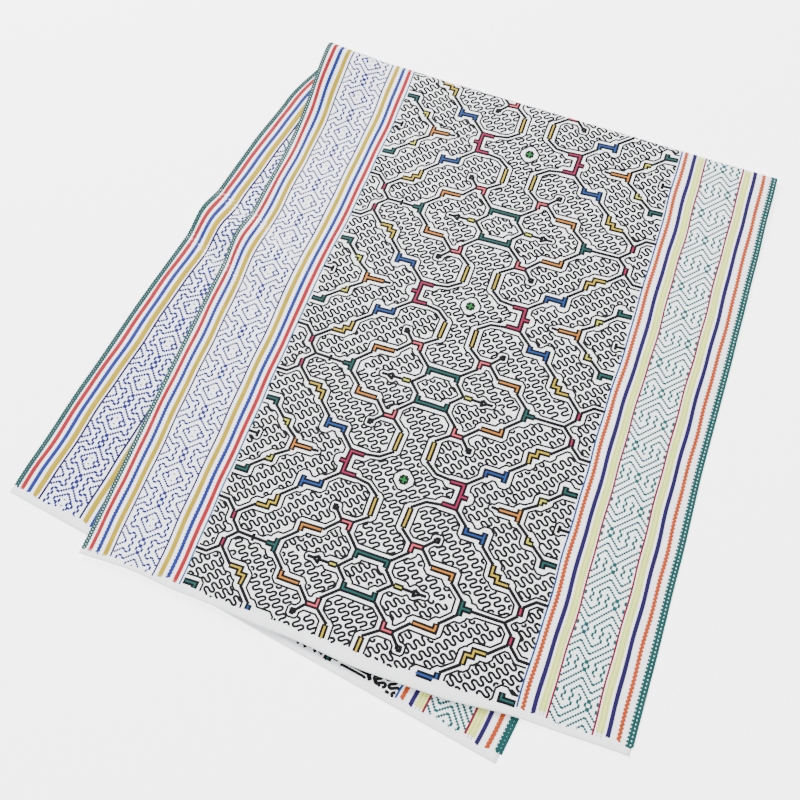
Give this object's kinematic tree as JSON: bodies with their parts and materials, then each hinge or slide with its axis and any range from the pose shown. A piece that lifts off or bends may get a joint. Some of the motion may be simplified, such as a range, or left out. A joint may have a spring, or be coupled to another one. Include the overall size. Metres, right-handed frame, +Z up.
{
  "type": "embroidered cloth panel",
  "caption": "Rectangular cotton panel with all-over maze embroidery and striped borders, folded in half a little off square and lying flat.",
  "frame": {"origin": "middle of the folded panel's bounding box, on the surface it lies on", "axes": "+X across the cloth to the right, +Y along it from the hems to the fold, +Z up"},
  "size_m": [0.7362, 0.8036, 0.034],
  "materials": {
    "embroidered_cotton": "plain-weave white cotton, machine embroidered"
  },
  "bodies": {
    "root": {"cloth_panel": "embroidered_cotton"}
  },
  "joints": []
}
